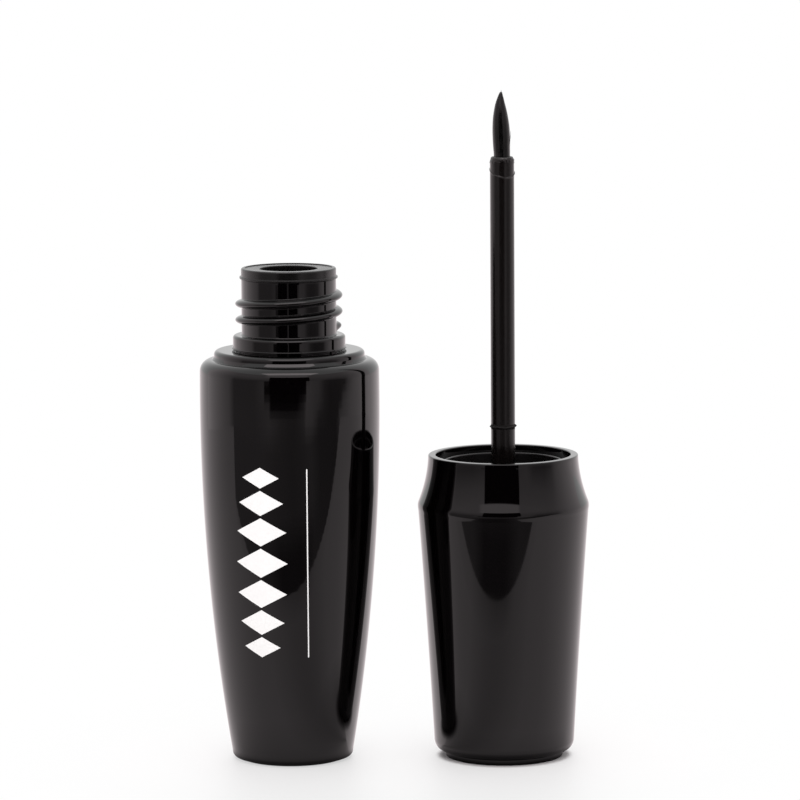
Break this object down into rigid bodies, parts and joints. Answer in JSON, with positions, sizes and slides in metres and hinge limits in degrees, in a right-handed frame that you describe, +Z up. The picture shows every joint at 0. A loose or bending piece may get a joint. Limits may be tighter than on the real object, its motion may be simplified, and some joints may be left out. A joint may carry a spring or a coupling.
{
  "type": "liquid eyeliner bottle",
  "caption": "Slim black screw-neck cosmetic bottle with a wiper insert, and its cap standing beside it mouth up with a fine brush on a rod.",
  "frame": {"origin": "centre of the bottle's flat base, on the surface that it stands on", "axes": "+Z up along the bottle's axis, +X from the bottle towards the cap that stands beside it, +Y away from the viewer of the picture"},
  "size_m": [0.0472, 0.0218, 0.0814],
  "materials": {
    "gloss_black": "black plastic, moulded in a polished tool, high gloss",
    "satin_black": "black polypropylene, satin as moulded, filmed with dried ink on the rod",
    "satin_charcoal": "charcoal polyethylene, soft satin",
    "foam": "closed-cell polyethylene foam liner, matt",
    "bristle": "fine synthetic bristles, wet with black ink",
    "steel": "polished stainless ball"
  },
  "bodies": {
    "bottle": {"bottle": "gloss_black", "neck_wiper": "satin_charcoal"},
    "ball": {"mixing_ball": "steel"},
    "cap": {"overcap": "gloss_black", "inner_cap": "satin_black", "sealing_washer": "foam", "applicator_rod": "satin_black", "brush_tuft": "bristle"}
  },
  "joints": [
    {"name": "cap_lift", "type": "slide", "parent": "bottle", "child": "cap", "axis": [0, 0, 1], "range_m": [0, 0.07]},
    {"name": "ball_travel", "type": "slide", "parent": "bottle", "child": "ball", "axis": [0, 0, 1], "range_m": [0, 0.04]}
  ]
}
